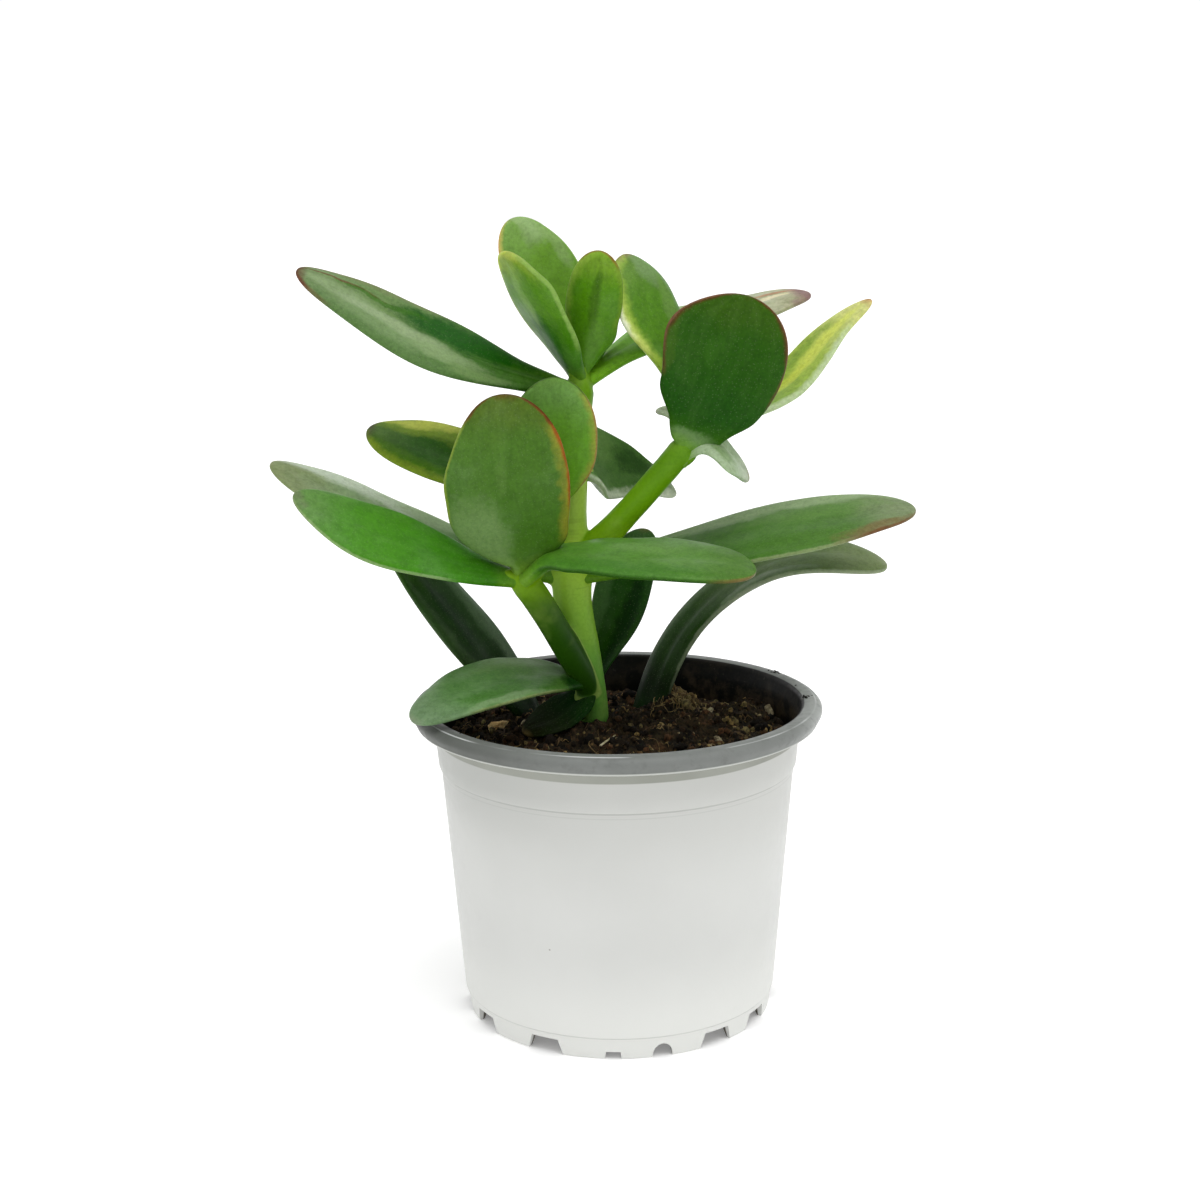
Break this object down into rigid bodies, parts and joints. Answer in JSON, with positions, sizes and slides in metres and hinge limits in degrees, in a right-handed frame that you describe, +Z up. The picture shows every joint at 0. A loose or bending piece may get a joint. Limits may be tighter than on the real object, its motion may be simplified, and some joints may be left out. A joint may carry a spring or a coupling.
{
  "type": "potted jade plant",
  "caption": "Young jade plant with a forked fleshy stem and thick oval leaves in opposite pairs, in a thin-walled round nursery pot filled with soil.",
  "frame": {"origin": "on the ground, under the middle of the whole plant's width and depth; the pot's axis is 6.3 mm to the right of it", "axes": "+Z up, +X to the right as seen from the front, -Y to the front, the side with the two large round leaves"},
  "size_m": [0.1623, 0.105, 0.2023],
  "materials": {
    "pot": "satin",
    "soil": "matte",
    "stem": "satin",
    "leaf_bright": "satin",
    "leaf_mid": "satin",
    "leaf_dark": "satin",
    "leaf_grey_green": "satin",
    "leaf_pale": "satin",
    "bark": "matte",
    "straw": "matte",
    "grit": "matte"
  },
  "bodies": {
    "root": {"pot": "pot", "soil": "soil", "stem": "stem", "leaf_top_left": "leaf_grey_green", "leaf_top_right": "leaf_bright", "leaf_top_back": "leaf_bright", "leaf_top_front_left": "leaf_bright", "leaf_top_middle": "leaf_bright", "leaf_top_inner": "leaf_bright", "leaf_mid_left": "leaf_mid", "leaf_mid_right": "leaf_dark", "leaf_left_long": "leaf_mid", "leaf_right_front": "leaf_mid", "leaf_front_round": "leaf_mid", "leaf_left_back": "leaf_bright", "leaf_dark_round": "leaf_dark", "leaf_right_inner": "leaf_bright", "leaf_right_outer": "leaf_bright", "leaf_small_right": "leaf_pale", "leaf_small_left": "leaf_pale", "leaf_low_left": "leaf_grey_green", "leaf_low_right": "leaf_mid", "leaf_behind": "leaf_dark", "leaf_behind_small": "leaf_pale", "leaf_over_rim": "leaf_mid", "leaf_on_soil": "leaf_dark", "leaf_from_soil": "leaf_dark", "leaf_behind_left": "leaf_dark", "bark_chip": "bark", "straw_piece": "straw", "grit_grain": "grit"}
  },
  "joints": []
}
